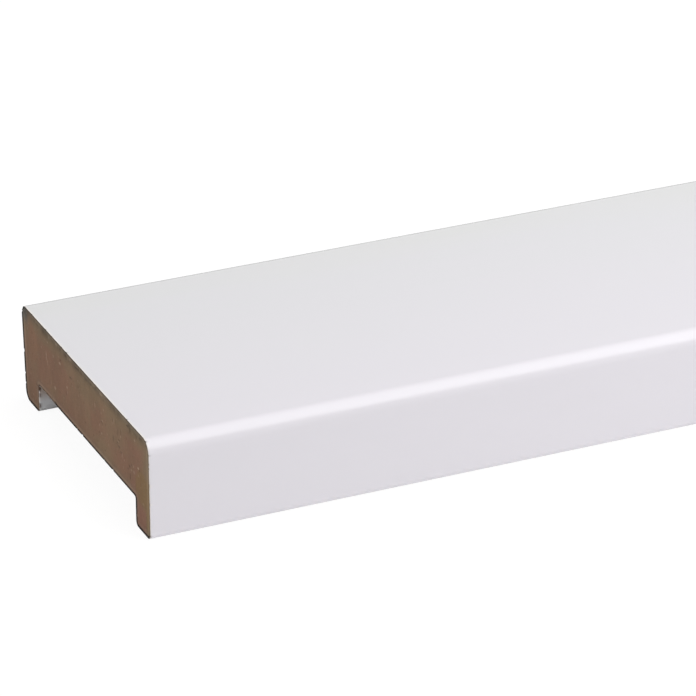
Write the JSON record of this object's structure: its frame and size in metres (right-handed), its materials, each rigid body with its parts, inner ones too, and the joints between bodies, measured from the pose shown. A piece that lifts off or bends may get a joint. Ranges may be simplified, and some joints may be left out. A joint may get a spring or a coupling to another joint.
{
  "type": "window finishing profile",
  "caption": "Long flat fibreboard trim board with a white satin coat, a rounded front edge and a wide shallow channel along its back, for casing a window reveal or frame.",
  "frame": {"origin": "middle of the length and of the width, on the plane of the two feet", "axes": "+X along the length, -Y towards the rounded front edge, +Y towards the leaning back edge, +Z out of the visible face; the channel opens towards -Z"},
  "size_m": [2.6, 0.092, 0.028],
  "materials": {
    "coated_fibreboard": "smooth white satin factory coat on every long face; both sawn ends are bare brown medium-density fibreboard"
  },
  "bodies": {
    "root": {"profile": "coated_fibreboard"}
  },
  "joints": []
}
